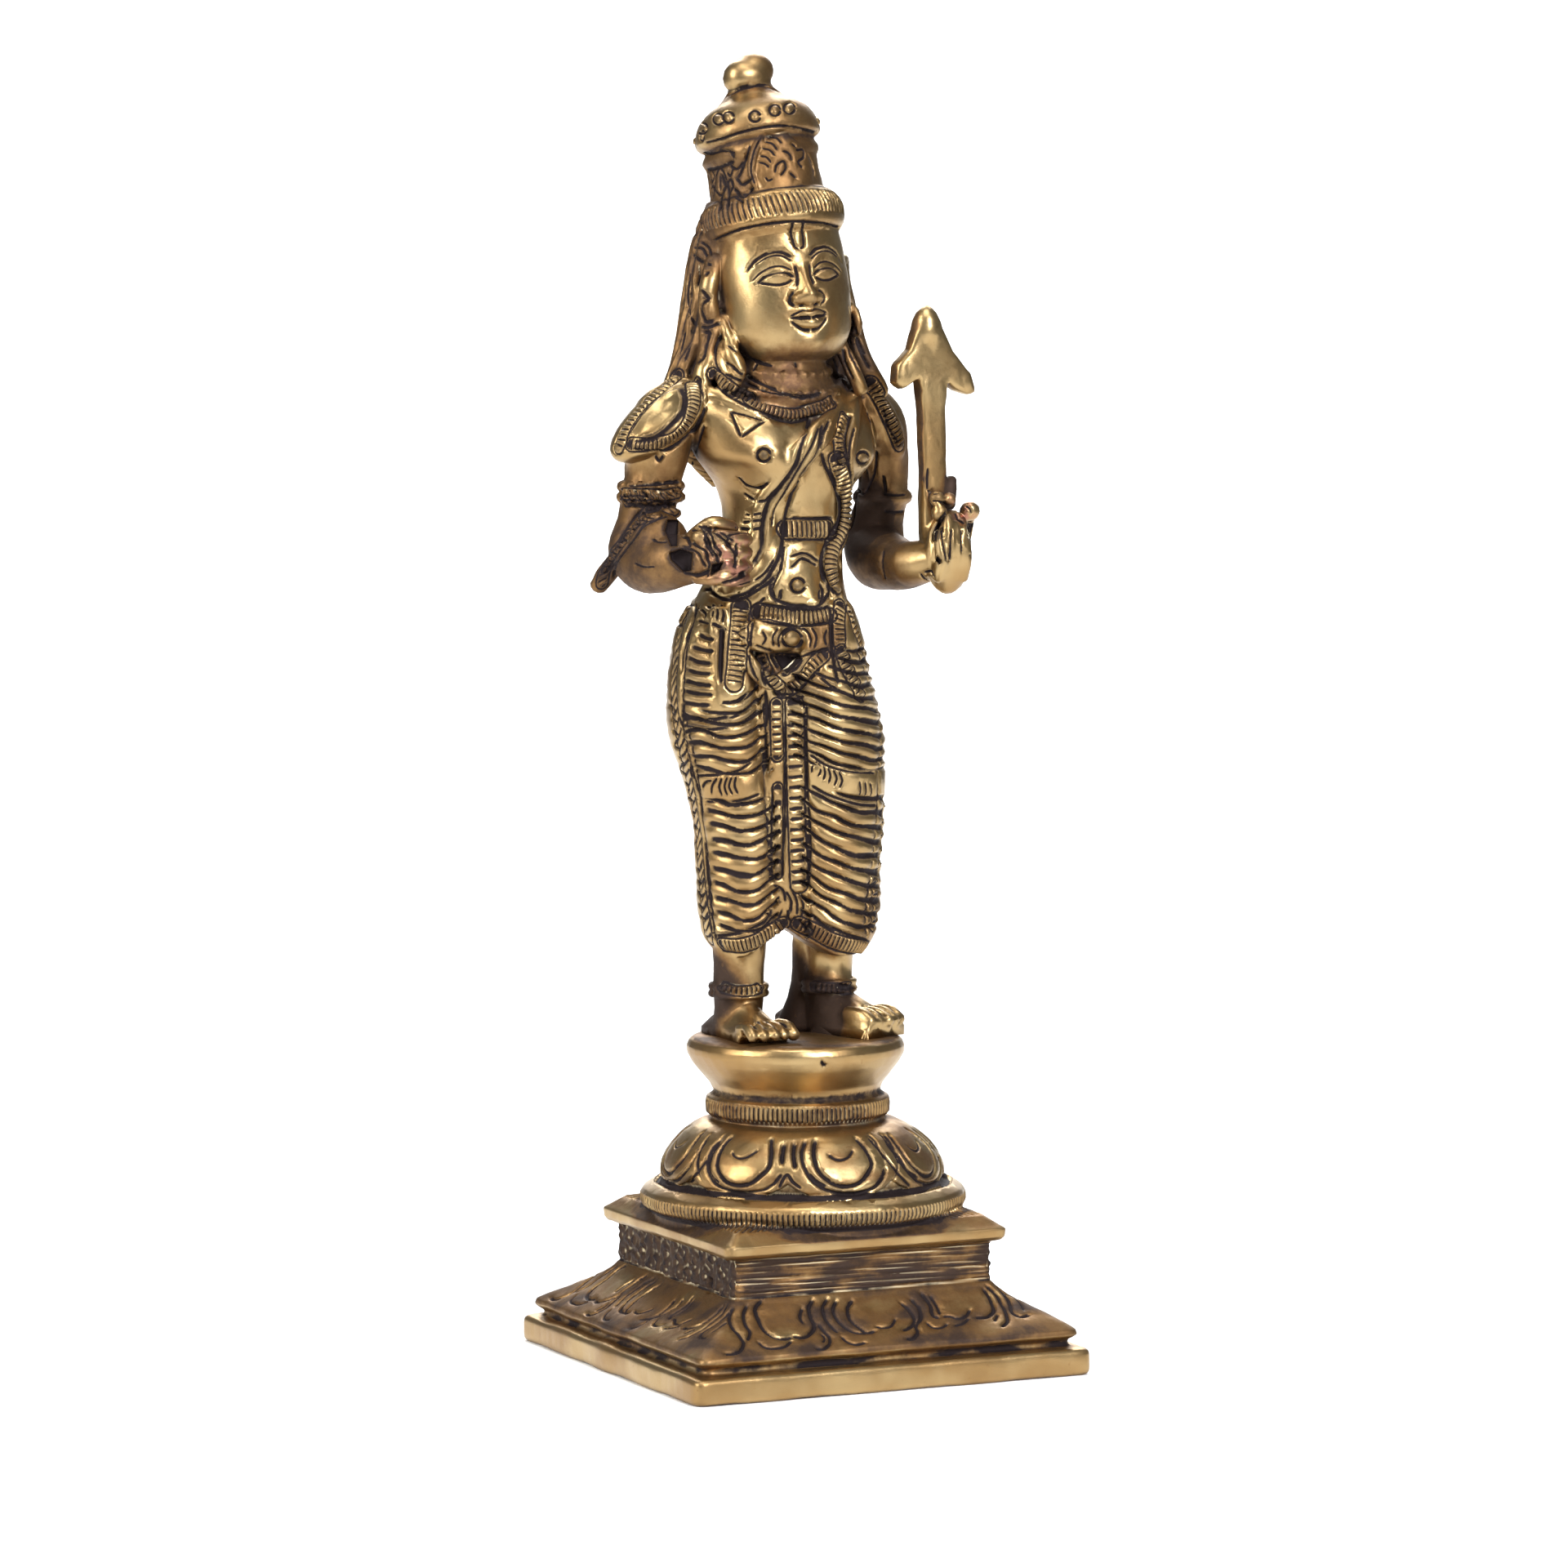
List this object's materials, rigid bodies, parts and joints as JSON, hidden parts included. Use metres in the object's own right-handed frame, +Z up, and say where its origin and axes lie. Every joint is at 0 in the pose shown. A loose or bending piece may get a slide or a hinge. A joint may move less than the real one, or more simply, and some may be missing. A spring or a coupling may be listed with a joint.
{
  "type": "brass deity figurine",
  "caption": "Cast-brass standing deity with a tall crown, barbed staff and pleated cloth on a stepped lotus pedestal.",
  "frame": {"origin": "centre of the square underside of the pedestal", "axes": "+Z up through the pedestal to the crown, -Y the way the figure faces, +X towards its left hand, which carries the staff"},
  "size_m": [0.047, 0.047, 0.142],
  "materials": {
    "polished_brass": "polished on the high places, dark patina in the cut lines, at the heels and on the hair",
    "plinth_brass": "polished edges and bowl, rough brown patina on the upright faces and in the recesses"
  },
  "bodies": {
    "root": {"figure": "polished_brass", "plinth": "plinth_brass"}
  },
  "joints": []
}
